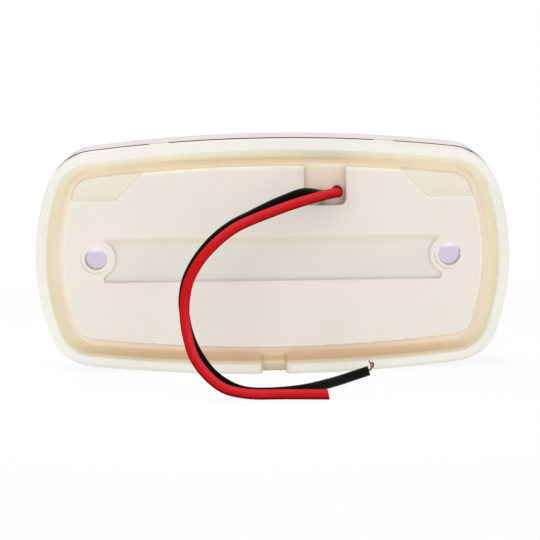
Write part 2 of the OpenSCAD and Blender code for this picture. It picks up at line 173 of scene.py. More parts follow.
BLACK_ROUTE = [(-10.5, -5.2, 12.8), (-10.5, -2.5, 12.8), (-10.4, 0.3, 13.1), (-9.8, 3.6, 13.8),
               (-8.4, 6.7, 14.4), (-6, 9.5, 14.6), (-2.5, 12.1, 13.6), (1, 14.1, 12.3),
               (4.6, 15.8, 10.7), (8.3, 17.3, 9), (12, 18.5, 6.3), (15.3, 19.4, 2.6),
               (17.6, 20.1, -1.5), (18.5, 20.9, -5.7), (18.2, 22, -9.6), (17.3, 23.3, -13.3),
               (15.5, 25, -16.9), (13, 26.8, -20.1), (10, 27.7, -22.4), (6.7, 28.2, -23.8),
               (3, 28.3, ON_GROUND), (-1.5, 27.7, ON_GROUND), (-6, 25, ON_GROUND),
               (-9.7, 20.6, ON_GROUND), (-13.3, 15.6, -24.2), (-16.7, 11.3, -23.9),
               (-20.1, 7.6, -23.5)]
# Normals of the snipped ends, which lean a little and run from front to back
RED_CUT, BLACK_CUT = (-1, 0, 0.2), (-1, 0, 0.29)
CORE_R = 0.56 * MM
CORE_RECESS = 0.35 * MM
LEAD_LIP = 0.06 * MM
STRAND_LENGTH = 1.2 * MM


def slanted(ring, frame_at, cut):
    """Slide a ring's points along the lead until they lie in the cut's plane."""
    point, heading = frame_at[0], frame_at[1]
    normal = Vector(cut).normalized()
    return [p - heading * ((p - point).dot(normal) / heading.dot(normal)) for p in ring]


def insulation(name, route, cut):
    """A round sleeve with a narrow lip at its cut end, hollow for a short way there."""
    frames = route_frames(route)
    end = frames[-1]
    reach = 2 * WIRE_R
    rings = [ring_points(f, WIRE_R, LEAD_SIDES) for f in frames if (f[0] - end[0]).length > reach]
    for r, forward in ((WIRE_R, -LEAD_LIP), (WIRE_R - LEAD_LIP, 0), (CORE_R + LEAD_LIP / 2, 0),
                       (CORE_R, -LEAD_LIP), (CORE_R, -CORE_RECESS - LEAD_LIP)):
        ring = slanted(ring_points(end, r, LEAD_SIDES), end, cut)
        rings.append([p + end[1] * forward for p in ring])
    points, faces = skin(rings)
    return new_object(name, mesh_of(name, points, faces), "base")


def strand(route, r, sides=8):
    """Points and faces of one copper hair with a domed tip."""
    frames = route_frames(route)
    rings = [ring_points(f, r, sides) for f in frames]
    rings.append(ring_points(frames[-1], r * 0.6, sides, r * 0.6))
    return skin(rings)


def join_shapes(shapes):
    """One list of points and one of faces from several."""
    points, faces = [], []
    for more_points, more_faces in shapes:
        start = len(points)
        points += more_points
        faces += [tuple(start + i for i in face) for face in more_faces]
    return points, faces


def cut_core(name, route, cut):
    """The ends of seven copper strands inside a cut lead."""
    end = route_frames(route)[-1]
    point, heading, side, other = end
    r = CORE_R / 3
    shapes = []
    for k in range(7):
        a = math.pi * k / 3
        off = Vector((0, 0, 0)) if k == 6 else 2 * r * (math.cos(a) * side + math.sin(a) * other)
        tip = slanted([point + off], end, cut)[0]
        tip -= heading * (CORE_RECESS * (0.3 + 0.5 * random.random()))
        shapes.append(strand([tip - heading * STRAND_LENGTH, tip], r * 0.96))
    points, faces = join_shapes(shapes)
    return new_object(name, mesh_of(name, points, faces), "base")


red_path = smooth_route(RED_ROUTE)
black_path = smooth_route(BLACK_ROUTE)
red_lead = insulation("red_lead", red_path, RED_CUT)
black_lead = insulation("black_lead", black_path, BLACK_CUT)
red_core = cut_core("red_lead_core", red_path, RED_CUT)
black_core = cut_core("black_lead_core", black_path, BLACK_CUT)

# Loose hairs of the black lead's cut end, curling up beside it
HAIR_ROUTES = [
    [(-20.1, 7.6, -23.5), (-20.4, 7.3, -23.4), (-20.8, 7.2, -22.9), (-20.9, 7.2, -22.3),
     (-20.6, 7.3, -21.9)],
    [(-20.1, 7.6, -23.3), (-20.5, 7.2, -23.2), (-21, 7.1, -22.8), (-21.1, 7, -22.2),
     (-20.8, 7, -21.7)],
    [(-20.2, 7.5, -23.4), (-20.5, 7.2, -23.2), (-20.6, 7, -22.6), (-20.4, 7, -22),
     (-20.1, 7.1, -21.5)],
]
HAIR_R = 0.13 * MM


def loose_hairs():
    points, faces = join_shapes([strand(smooth_route(route), HAIR_R) for route in HAIR_ROUTES])
    return new_object("black_lead_hairs", mesh_of("black_lead_hairs", points, faces), "base")


black_hairs = loose_hairs()
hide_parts("red_wire")
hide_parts("black_wire")
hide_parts("black_strands")


# ---------------------------------------------------------------- the barrel outline
TOP_CENTRE = Vector((0, BODY_H / 2 - BOW_R))
SIDE_CENTRE = Vector((BODY_W / 2 - SIDE_R, 0))


def corner_centre():
    """Centre of the upper corner's arc, which touches the top bow and the side bow."""
    a, b, d = BOW_R - CORNER_R, SIDE_R - CORNER_R, (SIDE_CENTRE - TOP_CENTRE).length
    u = (SIDE_CENTRE - TOP_CENTRE) / d
    s = (a * a - b * b + d * d) / (2 * d)
    h = math.sqrt(a * a - s * s)
    return TOP_CENTRE + s * u + h * Vector((u.y, -u.x))


def angle_of(v):
    return math.atan2(v.y, v.x)


CORNER = corner_centre()
BOW_FROM = angle_of(CORNER - TOP_CENTRE)
SIDE_TO = angle_of(CORNER - SIDE_CENTRE)
BOW_STEPS, SIDE_STEPS, CORNER_STEPS = 36, 24, 20


def arc(centre, r, start, stop, steps):
    """Points along an arc in the x-z plane, without its last one."""
    angles = [start + (stop - start) * i / steps for i in range(steps)]
    return [centre + r * Vector((math.cos(a), math.sin(a))) for a in angles]


def outline(inset):
    """Points of the barrel outline, moved inwards by inset: four bows and four corners."""
    left_corner = Vector((-CORNER.x, CORNER.y))
    half = arc(SIDE_CENTRE, SIDE_R - inset, -SIDE_TO, SIDE_TO, SIDE_STEPS)
    half += arc(CORNER, CORNER_R - inset, SIDE_TO, BOW_FROM, CORNER_STEPS)
    half += arc(TOP_CENTRE, BOW_R - inset, BOW_FROM, math.pi - BOW_FROM, BOW_STEPS)
    half += arc(left_corner, CORNER_R - inset, math.pi - BOW_FROM, math.pi - SIDE_TO, CORNER_STEPS)
    return half + [-p for p in half]


def inset_of(x, z):
    """Distance of a point inside the barrel outline."""
    p = Vector((abs(x), abs(z)))
    to_top, to_side = p - TOP_CENTRE, p - SIDE_CENTRE
    if angle_of(to_top) < BOW_FROM and angle_of(to_side) > SIDE_TO:
        return CORNER_R - (p - CORNER).length
    return min(BOW_R - to_top.length, SIDE_R - to_side.length)


def outline_ring(depth, inset):
    return [Vector((p.x, -depth, p.y)) for p in outline(inset)]


def circle_ring(x, depth, r, sides=96):
    angles = [2 * math.pi * k / sides for k in range(sides)]
    return [Vector((x + r * math.cos(a), -depth, r * math.sin(a))) for a in angles]


# ---------------------------------------------------------------- the red lens
class Sewn:
    """A mesh sewn together from rings of points that share their edges."""

    def __init__(self):
        self.mesh = bmesh.new()

    def ring(self, points):
        return [self.mesh.verts.new(p) for p in points]

    def bridge(self, a, b):
        n = len(a)
        for k in range(n):
            self.mesh.faces.new((a[k], a[(k + 1) % n], b[(k + 1) % n], b[k]))

    def chain(self, rings):
        """Bridge a row of rings and return the last one."""
        for a, b in zip(rings, rings[1:]):
            self.bridge(a, b)
        return rings[-1]

    def fill(self, rings):
        """A flat face between an outer ring and the holes in it."""
        edges = []
        for ring in rings:
            n = len(ring)
            for k in range(n):
                pair = (ring[k], ring[(k + 1) % n])
                edges.append(self.mesh.edges.get(pair) or self.mesh.edges.new(pair))
        bmesh.ops.triangle_fill(self.mesh, use_beauty=True, use_dissolve=False, edges=edges)

    def cap(self, ring, tip):
        centre = self.mesh.verts.new(tip)
        n = len(ring)
        for k in range(n):
            self.mesh.faces.new((ring[k], ring[(k + 1) % n], centre))

    def finish(self, name):
        bmesh.ops.recalc_face_normals(self.mesh, faces=self.mesh.faces[:])
        mesh = bpy.data.meshes.new(name)
        self.mesh.to_mesh(mesh)
        self.mesh.free()
        return mesh


# A bullseye has raised rings outside and a ribbed optic inside, which both run out at its edge
EYE_RINGS, RING_H, RING_EDGE = 4, 0.28 * MM, 0.6 * MM
EYE_RIBS, RIB_H, RIB_EDGE = 9, 0.5 * MM, 0.5 * MM
EYE_STEPS = 60
LENS_FILLET, LENS_LIP = 1.2 * MM, 0.12 * MM
WALL_STEPS, FILLET_STEPS, INNER_STEPS = 5, 6, 4


def crown_depth(r):
    """Depth of a bullseye's low crown at a distance from its axis, with raised rings."""
    sphere = (EYE_R ** 2 + EYE_H ** 2) / (2 * EYE_H)
    lift = math.sqrt(sphere ** 2 - r ** 2) - sphere + EYE_H
    wave = RING_H * (0.5 + 0.5 * math.cos(2 * math.pi * r / (EYE_R / EYE_RINGS) + math.pi))
    edge = min(1, (EYE_R - r) / RING_EDGE)
    return LENS_FRONT + lift + wave * edge


def optic_depth(r):
    """Depth of the ribbed inside of a bullseye at a distance from its axis."""
    saw = (r / (EYE_R / EYE_RIBS)) % 1.0
    edge = min(1, (EYE_R - r) / RIB_EDGE)
    return LENS_FRONT - LENS_T + RIB_H * (1 - saw) * edge


def build_lens():
    """One closed shell: outer and inner walls, two bullseyes and two screw wells."""
    sewn = Sewn()
    lip = LENS_LIP
    outer = [sewn.ring(outline_ring(LENS_BACK, lip)), sewn.ring(outline_ring(LENS_BACK + lip, 0))]
    for i in range(1, WALL_STEPS - 1):
        depth = LENS_BACK + i * (LENS_FRONT - LENS_BACK) / WALL_STEPS
        outer.append(sewn.ring(outline_ring(depth, 0)))
    for i in range(FILLET_STEPS + 1):
        a = math.pi / 2 * i / FILLET_STEPS
        outer.append(sewn.ring(outline_ring(LENS_FRONT - LENS_FILLET * (1 - math.sin(a)),
                                            LENS_FILLET * (1 - math.cos(a)))))
    sewn.chain(outer)
    inner_front = LENS_FRONT - LENS_T
    inner = [outer[0], sewn.ring(outline_ring(LENS_BACK, LENS_T - lip)),
             sewn.ring(outline_ring(LENS_BACK + lip, LENS_T))]
    for i in range(INNER_STEPS + 1):
        a = math.pi / 2 * i / INNER_STEPS
        inner.append(sewn.ring(outline_ring(inner_front - lip * 3 * (1 - math.sin(a)),
                                            LENS_T + lip * 3 * (1 - math.cos(a)))))
    sewn.chain(inner)
    front_holes, inner_holes = [], []
    for side in (-1, 1):
        x = side * HOLE_X
        mouth = [sewn.ring(circle_ring(x, LENS_FRONT, WELL_R + 2 * lip)),
                 sewn.ring(circle_ring(x, LENS_FRONT - lip, WELL_R + lip / 2)),
                 sewn.ring(circle_ring(x, LENS_FRONT - 2 * lip, WELL_R))]
        well = mouth + [sewn.ring(circle_ring(x, LENS_BACK + lip, WELL_R)),
                        sewn.ring(circle_ring(x, LENS_BACK, WELL_R - lip)),
                        sewn.ring(circle_ring(x, LENS_BACK, WELL_HOLE_R)),
                        sewn.ring(circle_ring(x, LENS_BACK - LENS_T, WELL_HOLE_R)),
                        sewn.ring(circle_ring(x, LENS_BACK - LENS_T, WELL_R + WELL_WALL - lip)),
                        sewn.ring(circle_ring(x, LENS_BACK - LENS_T + lip, WELL_R + WELL_WALL)),
                        sewn.ring(circle_ring(x, inner_front, WELL_R + WELL_WALL))]
        sewn.chain(well)
        front_holes.append(well[0])
        inner_holes.append(well[-1])
        eye = side * EYE_X
        radii = [EYE_R * k / EYE_STEPS for k in range(EYE_STEPS, 0, -1)]
        for depth_at, holes in ((crown_depth, front_holes), (optic_depth, inner_holes)):
            rings = [sewn.ring(circle_ring(eye, depth_at(r), r)) for r in radii]
            sewn.chain(rings)
            sewn.cap(rings[-1], (eye, -depth_at(0), 0))
            holes.append(rings[0])
    sewn.fill([outer[-1]] + front_holes)
    sewn.fill([inner[-1]] + inner_holes)
    return sewn.finish("lens_shell")


lens = new_object("lens_shell", build_lens(), "lens")
lens.data.set_sharp_from_angle(angle=math.radians(32))
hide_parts("lens")


# ---------------------------------------------------------------- the cream base
PANEL_RECESS, GASKET_FROM, GASKET_TO = 2.5 * MM, 8 * MM, 8.8 * MM
HOLE_R, CHAMFER_W, CHAMFER_T, CHAMFER_SIDES = 2.375 * MM, 0.65 * MM, 0.45 * MM, 64
PANEL_INSET = RIM_W + MOAT_W
# The base is rounded by a mesh of this grain, which is thinned where the lens covers it
VOXEL, SMOOTH_ROUNDS, KEPT_INSIDE = 0.25 * MM, 8, 0.5
INSIDE_FROM, WALL_KEPT = 7 * MM, 1.2 * MM
# Draft of the outer side, which is more towards the lamp's ends, in the layer next to the outline
SIDE_LIMIT = GASKET_FROM + 0.1 * MM
DRAFT, CORNER_DRAFT, DRAFT_ENDS = 0.13 * MM, 0.12 * MM, (38 * MM, 44 * MM)
DRAFT_LAYER, DRAFT_FADE = 0.9 * MM, 0.4 * MM
# Pull of the upper corners: angles from straight up where it grows and fades, and its layer
CORNER_PULL, PULL_LAYER = 0.25 * MM, (0.3 * MM, 1.8 * MM)
PULL_GROWS = math.radians(22), math.radians(62)
PULL_FADES = math.radians(60), math.radians(84)
# Lean of the groove's outer side, which fades before the panel
GROOVE_LEAN, LEAN_REACH = 0.9 * MM, 1.1
LEAN_FADES = PANEL_INSET - 2.1 * MM, PANEL_INSET - 0.2 * MM


def chamfer_cutter():
    """Two cones that open the rims of the mounting holes."""
    cones = []
    for x in (-HOLE_X, HOLE_X):
        sections = ((PANEL_RECESS - CHAMFER_T, HOLE_R + 2 * CHAMFER_W),
                    (PANEL_RECESS + CHAMFER_T, HOLE_R),
                    (PANEL_RECESS + 2 * CHAMFER_T, HOLE_R / 2))
        cones.append(skin([circle_ring(x, depth, r, CHAMFER_SIDES) for depth, r in sections]))
    mesh = mesh_of("chamfer_cutter", *join_shapes(cones))
    cutter = bpy.data.objects.new("chamfer_cutter", mesh)
    bpy.context.scene.collection.objects.link(cutter)
    return cutter


def applied(piece):
    """Make a piece's modifiers part of its mesh."""
    evaluated = piece.evaluated_get(bpy.context.evaluated_depsgraph_get())
    mesh = bpy.data.meshes.new_from_object(evaluated)
    piece.modifiers.clear()
    piece.data = mesh
    return mesh


def soften(name, node):
    """A copy of a CAD node with every edge rounded as a moulding's are, and with a share
    of the vertices kept in the part that the lens covers."""
    piece = new_object(name, nodes[node].data.copy(), "base")
    cutter = chamfer_cutter()
    cut = piece.modifiers.new("cut", "BOOLEAN")
    cut.operation = "DIFFERENCE"
    cut.object = cutter
    applied(piece)
    bpy.data.objects.remove(cutter)
    remesh = piece.modifiers.new("remesh", "REMESH")
    remesh.mode = "VOXEL"
    remesh.voxel_size = VOXEL
    smooth = piece.modifiers.new("smooth", "SMOOTH")
    smooth.factor = 0.5
    smooth.iterations = SMOOTH_ROUNDS
    mesh = applied(piece)
    covered = [v.index for v in mesh.vertices
               if -v.co.y > INSIDE_FROM and inset_of(v.co.x, v.co.z) > WALL_KEPT]
    inside = piece.vertex_groups.new(name="inside")
    inside.add(covered, 1.0, "REPLACE")
    thin = piece.modifiers.new("thin", "DECIMATE")
    # The ratio counts the whole mesh, and only the covered vertices may go
    thin.ratio = 1 - (1 - KEPT_INSIDE) * len(covered) / len(mesh.vertices)
    thin.vertex_group = "inside"
    mesh = applied(piece)
    mesh.name = name
    piece.vertex_groups.clear()
    mesh.polygons.foreach_set("use_smooth", [True] * len(mesh.polygons))
    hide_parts(node)
    return piece


def step(value, low, high):
    """Smooth rise from 0 to 1 between two values."""
    t = min(1, max(0, (value - low) / (high - low)))
    return t * t * (3 - 2 * t)


def give_draft(mesh):
    """Narrow the base's outer side towards the lens, as its mould's draft does."""
    for vertex in mesh.vertices:
        x, y, z = vertex.co
        depth = -y
        if depth > SIDE_LIMIT:
            continue
        pull = max(0, depth / GASKET_FROM) * step(DRAFT_LAYER - inset_of(x, z), 0, DRAFT_FADE)
        pull *= DRAFT + CORNER_DRAFT * step(abs(x), *DRAFT_ENDS)
        reach = math.hypot(x, z) or 1
        vertex.co.x -= x / reach * pull
        vertex.co.z -= z / reach * pull


def ease_corners(mesh):
    """Draw the base's upper corners in a little, so that the gasket shows around them."""
    for vertex in mesh.vertices:
        x, y, z = vertex.co
        away = Vector((abs(x), z)) - CORNER
        if min(away) < 0 or -y > SIDE_LIMIT:
            continue
        turn = math.atan2(away.x, away.y)
        share = step(turn, *PULL_GROWS) * (1 - step(turn, *PULL_FADES))
        share *= 1 - step(CORNER_R - away.length, *PULL_LAYER)
        pull = away.normalized() * CORNER_PULL * share
        vertex.co.x -= math.copysign(pull.x, x)
        vertex.co.z -= pull.y


def open_groove(mesh):
    """Lean the groove's outer side further in."""
    for vertex in mesh.vertices:
        x, y, z = vertex.co
        sunk = -y / MOAT_DEPTH
        inset = inset_of(x, z)
        if not (0 < sunk < LEAN_REACH and RIM_W / 2 < inset < PANEL_INSET):
            continue
        share = step(inset, RIM_W / 2, RIM_W) * (1 - step(inset, *LEAN_FADES))
        reach = math.hypot(x, z)
        vertex.co.x -= x / reach * GROOVE_LEAN * sunk * share
        vertex.co.z -= z / reach * GROOVE_LEAN * sunk * share


base = soften("base_moulding", "base_housing")
give_draft(base.data)
ease_corners(base.data)
open_groove(base.data)


# ---------------------------------------------------------------- the gasket
PAD_X, PAD_W, PAD_SINK = 24.3 * MM, 4.2 * MM, 0.3 * MM
SEAL_END, SEAL_INSET = 0.1 * MM, 0.02 * MM
# Steps of a strip between two points of the outline
FINE = 16


def strip_runs(inset, wanted):
    """Runs of matching outer and inner outline points, where their distance from the middle
    of a stand-off pad is wanted."""
    outer, inner = outline(inset), outline(LENS_T - SEAL_END)
    runs, run = [], []
    for i in range(len(outer)):
        for k in range(FINE):
            a = outer[i - 1].lerp(outer[i], k / FINE)
            b = inner[i - 1].lerp(inner[i], k / FINE)
            if wanted(abs(abs(a.x) - PAD_X)):
                run.append((a, b))
            elif run:
                runs.append(run)
                run = []
    return [run + runs[0]] + runs[1:] if run else runs


def strips(name, runs, start, stop):
    """Square strips along runs of points, between two depths."""
    shapes = []
    for run in runs:
        rings = []
        for a, b in run:
            corners = (a, start), (a, stop), (b, stop), (b, start)
            rings.append([Vector((p.x, -depth, p.y)) for p, depth in corners])
        shapes.append(skin(rings))
    return new_object(name, mesh_of(name, *join_shapes(shapes)), "base", smooth=False)


gasket = strips("gasket_strips", strip_runs(SEAL_INSET, lambda off: off > PAD_W / 2),
                GASKET_FROM, GASKET_TO)
pads = strips("standoff_pads", strip_runs(0, lambda off: off < PAD_W / 2),
              GASKET_FROM - PAD_SINK, GASKET_TO)
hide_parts("lens_gasket")


# ---------------------------------------------------------------- materials
class Shade:
    """A principled material and the few node steps that its look is made of."""

    def __init__(self, name, colour, roughness, **sockets):
        self.material = bpy.data.materials.new(name)
        self.material.use_nodes = True
        self.tree = self.material.node_tree
        self.shader = self.tree.nodes["Principled BSDF"]
        self.shader.inputs["Base Color"].default_value = (*colour, 1)
        self.shader.inputs["Roughness"].default_value = roughness
        for socket, value in sockets.items():
            self.shader.inputs[socket.replace("_", " ")].default_value = value
        self.colour = colour

    def node(self, kind, **values):
        made = self.tree.nodes.new(kind)
        for key, value in values.items():
            if hasattr(made, key):
                setattr(made, key, value)
            else:
                made.inputs[key.replace("_", " ").title()].default_value = value
        return made

    def link(self, a, b):
        self.tree.links.new(a, b)

    def noise(self, scale, detail=3.0, stretch=(1, 1, 1)):
        """A noise whose grain is scale repeats to the metre, fixed to the piece."""
        where = self.node("ShaderNodeTexCoord")
        mapping = self.node("ShaderNodeMapping")
        mapping.inputs["Scale"].default_value = stretch
        grain = self.node("ShaderNodeTexNoise", scale=scale, detail=detail)
        self.link(where.outputs["Object"], mapping.inputs["Vector"])
        self.link(mapping.outputs["Vector"], grain.inputs["Vector"])
        return grain.outputs["Fac"]

    def span(self, fac, low, high, to_low, to_high):
        """Map a value from one range to another, held at the ends."""
        span = self.node("ShaderNodeMapRange")
        names = ("From Min", "From Max", "To Min", "To Max")
        for name, value in zip(names, (low, high, to_low, to_high)):
            span.inputs[name].default_value = value
        self.link(fac, span.inputs["Value"])
        return span.outputs["Result"]

    def ramp(self, fac, stops):
        ramp = self.node("ShaderNodeValToRGB")
        elements = ramp.color_ramp.elements
        while len(elements) < len(stops):
            elements.new(0.5)
        for element, (at, colour) in zip(elements, stops):
            element.position = at
            element.color = (*colour, 1)
        self.link(fac, ramp.inputs["Fac"])
        return ramp.outputs["Color"]

    def paint(self, colour_output):
        self.link(colour_output, self.shader.inputs["Base Color"])

    def mottled(self, scale, other, stretch=(1, 1, 1)):
        """Vary the colour slowly between its own and another one."""
        self.paint(self.ramp(self.noise(scale, 4.0, stretch), [(0.35, self.colour), (0.65, other)]))
        return self

    def toned(self, scale, lowest):
        """Take the colour kept with the mesh, and darken it a little in slow patches."""
        kept = self.node("ShaderNodeAttribute", attribute_name="tone")
        patch = self.span(self.noise(scale, 4.0), 0.3, 0.7, lowest, 1.0)
        scaled = self.node("ShaderNodeVectorMath", operation="SCALE")
        self.link(kept.outputs["Color"], scaled.inputs[0])
        self.link(patch, scaled.inputs["Scale"])
        self.paint(scaled.outputs[0])
        return self

    def bumped(self, scale, distance, stretch=(1, 1, 1), detail=2.0):
        """Fine relief of a given depth in metres."""
        bump = self.node("ShaderNodeBump", strength=1.0, distance=distance)
        self.link(self.noise(scale, detail, stretch), bump.inputs["Height"])
        self.link(bump.outputs["Normal"], self.shader.inputs["Normal"])
        return self

    def rough(self, scale, low, high):
        """Vary the roughness slowly between two values."""
        level = self.span(self.noise(scale), 0.3, 0.7, low, high)
        self.link(level, self.shader.inputs["Roughness"])
        return self

    def maths(self, operation, *terms):
        """The result of an operation on sockets and plain numbers."""
        made = self.node("ShaderNodeMath", operation=operation)
        for term, socket in zip(terms, made.inputs):
            if isinstance(term, float):
                socket.default_value = term
            else:
                self.link(term, socket)
        return made.outputs[0]


def dress(material, *pieces):
    for piece in pieces:
        piece.data.materials.clear()
        piece.data.materials.append(material)


def srgb(red, green, blue):
    """Linear colour of an eight-bit display colour."""
    return tuple((c / 255 / 12.92) if c < 10.3 else ((c / 255 + 0.055) / 1.055) ** 2.4
                 for c in (red, green, blue))


# Tones of the cream plastic, with painted light and shade: paler on the rim and panel, warmer down
# in the groove, whose tones are set apart by height as light falls there. The groove's tones run
# from its lip over its outer side, floor and inner side to a painted highlight at the panel's edge
RIM_TONE, RIM_PAINTED_LIGHT, RIM_PAINTED_SHADE = srgb(243, 240, 232), srgb(250, 247, 241), srgb(226, 226, 221)
PANEL_TONE = srgb(238, 233, 225)
GROOVE_TOP = (srgb(255, 253, 240), srgb(255, 254, 241), srgb(255, 252, 228), srgb(235, 217, 184),
              srgb(255, 247, 226))
GROOVE_SIDE = (srgb(248, 242, 206), srgb(254, 244, 212), srgb(255, 248, 224), srgb(252, 242, 230),
               srgb(255, 254, 248))
GROOVE_LOW = (srgb(255, 236, 200), srgb(223, 195, 146), srgb(243, 215, 180), srgb(240, 220, 204),
              srgb(255, 253, 248))
CORNER_TONE = srgb(238, 230, 216)
# Painted highlight along the edges of the corner facets
FACET_EDGE_LIGHT = srgb(253, 249, 241)
CHANNEL_TONE = srgb(232, 229, 220)
# Painted shade on the channel's upper slope
CHANNEL_SLOPE_SHADE = srgb(228, 224, 211)
# Painted shade in the weep notch: on its floor, darker at its outer edge, and on the groove's wall
# above it
NOTCH_FLOOR_SHADE, NOTCH_EDGE_SHADE, NOTCH_SHADE = srgb(213, 205, 183), srgb(194, 189, 166), srgb(218, 193, 153)
SLOT_TONE, SLOT_TOP = srgb(247, 233, 213), srgb(246, 236, 203)
# Painted light on the pale chamfers of the mounting holes, and a thin painted shade beside them
CHAMFER_PAINTED_LIGHT = srgb(244, 242, 238)
HOLE_SHADE = srgb(200, 194, 170)
# Direction across the lamp in which a mounting hole's painted shade lies
HOLE_SHADE_SIDE = Vector((0.6, -0.8))
FACET_Z, FACET_X = 12.5 * MM, 33.5 * MM
SLOT_X, SLOT_W, SLOT_Z, SLOT_FADES = -11.4 * MM, 8.8 * MM, 11 * MM, (17.5 * MM, 19 * MM)
NOTCH_HALF = 3.4 * MM
CHANNEL_LOW, CHANNEL_TOP = -5.2 * MM, 4.8 * MM


def blend(a, b, share):
    return tuple(p + (q - p) * share for p, q in zip(a, b))


def groove_tones(height):
    """The groove's five tones at a height, from -1 at the bottom to 1 at the top, set apart by
    painted light and shade and darkest at the bottom.
    """
    top, low = step(height, 0.45, 0.89), step(-height, 0.68, 0.86)
    tones = [blend(side, high, top) for side, high in zip(GROOVE_SIDE, GROOVE_TOP)]
    return [blend(tone, bottom, low) for tone, bottom in zip(tones, GROOVE_LOW)]


def hole_tone(tone, x, z):
    """Painted light on the pale chamfer of a mounting hole, with a thin painted shade at its lower
    left as seen from behind.
    """
    away = Vector((x, z)) - Vector((math.copysign(HOLE_X, x), 0))
    r = away.length
    edge = HOLE_R + CHAMFER_W
    if r > edge + 0.6 * MM:
        return tone
    low = max(0, away.dot(HOLE_SHADE_SIDE)) / r
    ring = step(r, edge - 0.15 * MM, edge + 0.05 * MM)
    ring *= 1 - step(r, edge + 0.1 * MM, edge + 0.4 * MM)
    tone = blend(tone, HOLE_SHADE, ring * low)
    return blend(tone, CHAMFER_PAINTED_LIGHT, 1 - step(r, edge - 0.25 * MM, edge - 0.05 * MM))


def rim_tone(height, inset):
    """Colour of the rim: painted light above, painted shade along its lower outer edge."""
    tone = blend(RIM_TONE, RIM_PAINTED_LIGHT, step(height, 0.5, 0.9))
    return blend(tone, RIM_PAINTED_SHADE, step(-height, 0.7, 0.9) * (1 - step(inset, 0.3 * MM, 1 * MM)))


def notch_tone(tone, lip, x, inset, depth):
    """Painted shade in the weep notch at the bottom, and on the groove's wall above it."""
    across = 1 - step(abs(x), NOTCH_HALF - 0.9 * MM, NOTCH_HALF - 0.2 * MM)
    sunk = step(depth, 0.3 * MM, 1.2 * MM)
    tone = blend(tone, NOTCH_SHADE, across * (1 - step(inset, 3.4 * MM, 4 * MM)) * sunk)
    floor = blend(NOTCH_EDGE_SHADE, NOTCH_FLOOR_SHADE, step(inset, 0.2 * MM, 0.9 * MM))
    floor = blend(floor, lip, 0.6 * step(inset, 1.2 * MM, 2 * MM))
    return blend(tone, floor, across * (1 - step(inset, 2 * MM, 2.6 * MM)) * sunk)


def panel_tone(x, depth, z):
    """Colour of the sunk panel, with its channel and holes, and the share of its corner facets;
    painted light lies along the facets' edges and painted shade on the channel's upper slope.
    """
    cut = min(abs(x) - FACET_X + (z - FACET_Z), z - FACET_Z)
    facet = step(cut, -0.3 * MM, 0.3 * MM)
    tone = blend(PANEL_TONE, CORNER_TONE, facet)
    tone = blend(tone, FACET_EDGE_LIGHT, 1 - step(abs(cut), 0.1 * MM, 0.5 * MM))
    if CHANNEL_LOW < z < CHANNEL_TOP:
        slope_shade = step(z, CHANNEL_TOP - 2.1 * MM, CHANNEL_TOP - 1.7 * MM)
        channel = blend(CHANNEL_TONE, CHANNEL_SLOPE_SHADE, slope_shade)
        tone = blend(tone, channel, step(depth, PANEL_RECESS + 0.1 * MM, PANEL_RECESS + 0.6 * MM))
    return hole_tone(tone, x, z), facet


def slot_tone(tone, x, depth, z, inset):
    """Colour of the leads' slot, which runs out into the groove above it."""
    inside = min(SLOT_W / 2 - abs(x - SLOT_X), z - SLOT_Z, depth - PANEL_RECESS - 0.5 * MM)
    share = step(inside, -0.1 * MM, 0.4 * MM)
    share *= step(inset, PANEL_INSET - 0.6 * MM, PANEL_INSET + 1.5 * MM)
    return blend(tone, blend(SLOT_TONE, SLOT_TOP, step(z, *SLOT_FADES)), share)


def cream_tone(x, depth, z):
    """Colour of the base at a point, with its painted light and shade."""
    inset = inset_of(x, z)
    height = z / (BODY_H / 2)
    share = (inset - RIM_W) / MOAT_W
    lip, outer, middle, inner, edge = groove_tones(height)
    groove = blend(blend(outer, middle, step(share, 0, 0.5)), inner, step(share, 0.4, 0.75))
    within = step(inset, 0.9 * MM, 1.5 * MM)
    tone = blend(rim_tone(height, inset), lip, within * step(depth, 0.1 * MM, 0.7 * MM))
    tone = blend(tone, groove, within * step(depth, 0.8 * MM, 2 * MM))
    if z < 0:
        tone = notch_tone(tone, lip, x, inset, depth)
    panel, facet = panel_tone(x, depth, z)
    # Painted highlight along the panel's edge, wider at the top and not on the facets
    width = 0.35 * MM + 1.1 * MM * step(height, 0.6, 0.8)
    edge_from = PANEL_INSET + 0.1 * MM
    edge_highlight = (1 - step(inset, edge_from, edge_from + width)) * (1 - facet)
    panel = blend(panel, edge, edge_highlight)
    start = PANEL_INSET - 0.4 * MM + 0.2 * MM * step(-height, 0.3, 0.6)
    tone = blend(tone, panel, step(inset, start, start + 0.3 * MM))
    return slot_tone(tone, x, depth, z, inset)


def tint(piece, tone_at):
    """Keep a colour with each point of a mesh, worked out from its place."""
    tones = piece.data.color_attributes.new("tone", "FLOAT_COLOR", "POINT")
    for vertex, colour in zip(piece.data.vertices, tones.data):
        x, y, z = vertex.co
        colour.color = (*tone_at(x, -y, z), 1)


tint(base, cream_tone)
cream = Shade("cream_abs", PANEL_TONE, 0.42)
cream.toned(90, 0.97).bumped(2600, 0.006 * MM).rough(400, 0.36, 0.5)
dress(cream.material, base)


def mottled_part(name, colour, roughness, other, scale, pieces, **sockets):
    """Give pieces a new material in two tones, with patches of the given grain."""
    shade = Shade(name, colour, roughness, **sockets).mottled(scale, other)
    dress(shade.material, *pieces)
    return shade


mottled_part("pad_abs", srgb(226, 222, 220), 0.42, srgb(222, 218, 216), 300, [pads])
red_clear = Shade("red_polycarbonate", (0.8, 0.015, 0.02), 0.08, Transmission_Weight=0.85, IOR=1.58,
                  Coat_Weight=0.3, Coat_Roughness=0.1)
red_clear.bumped(160, 0.01 * MM)
dress(red_clear.material, lens)

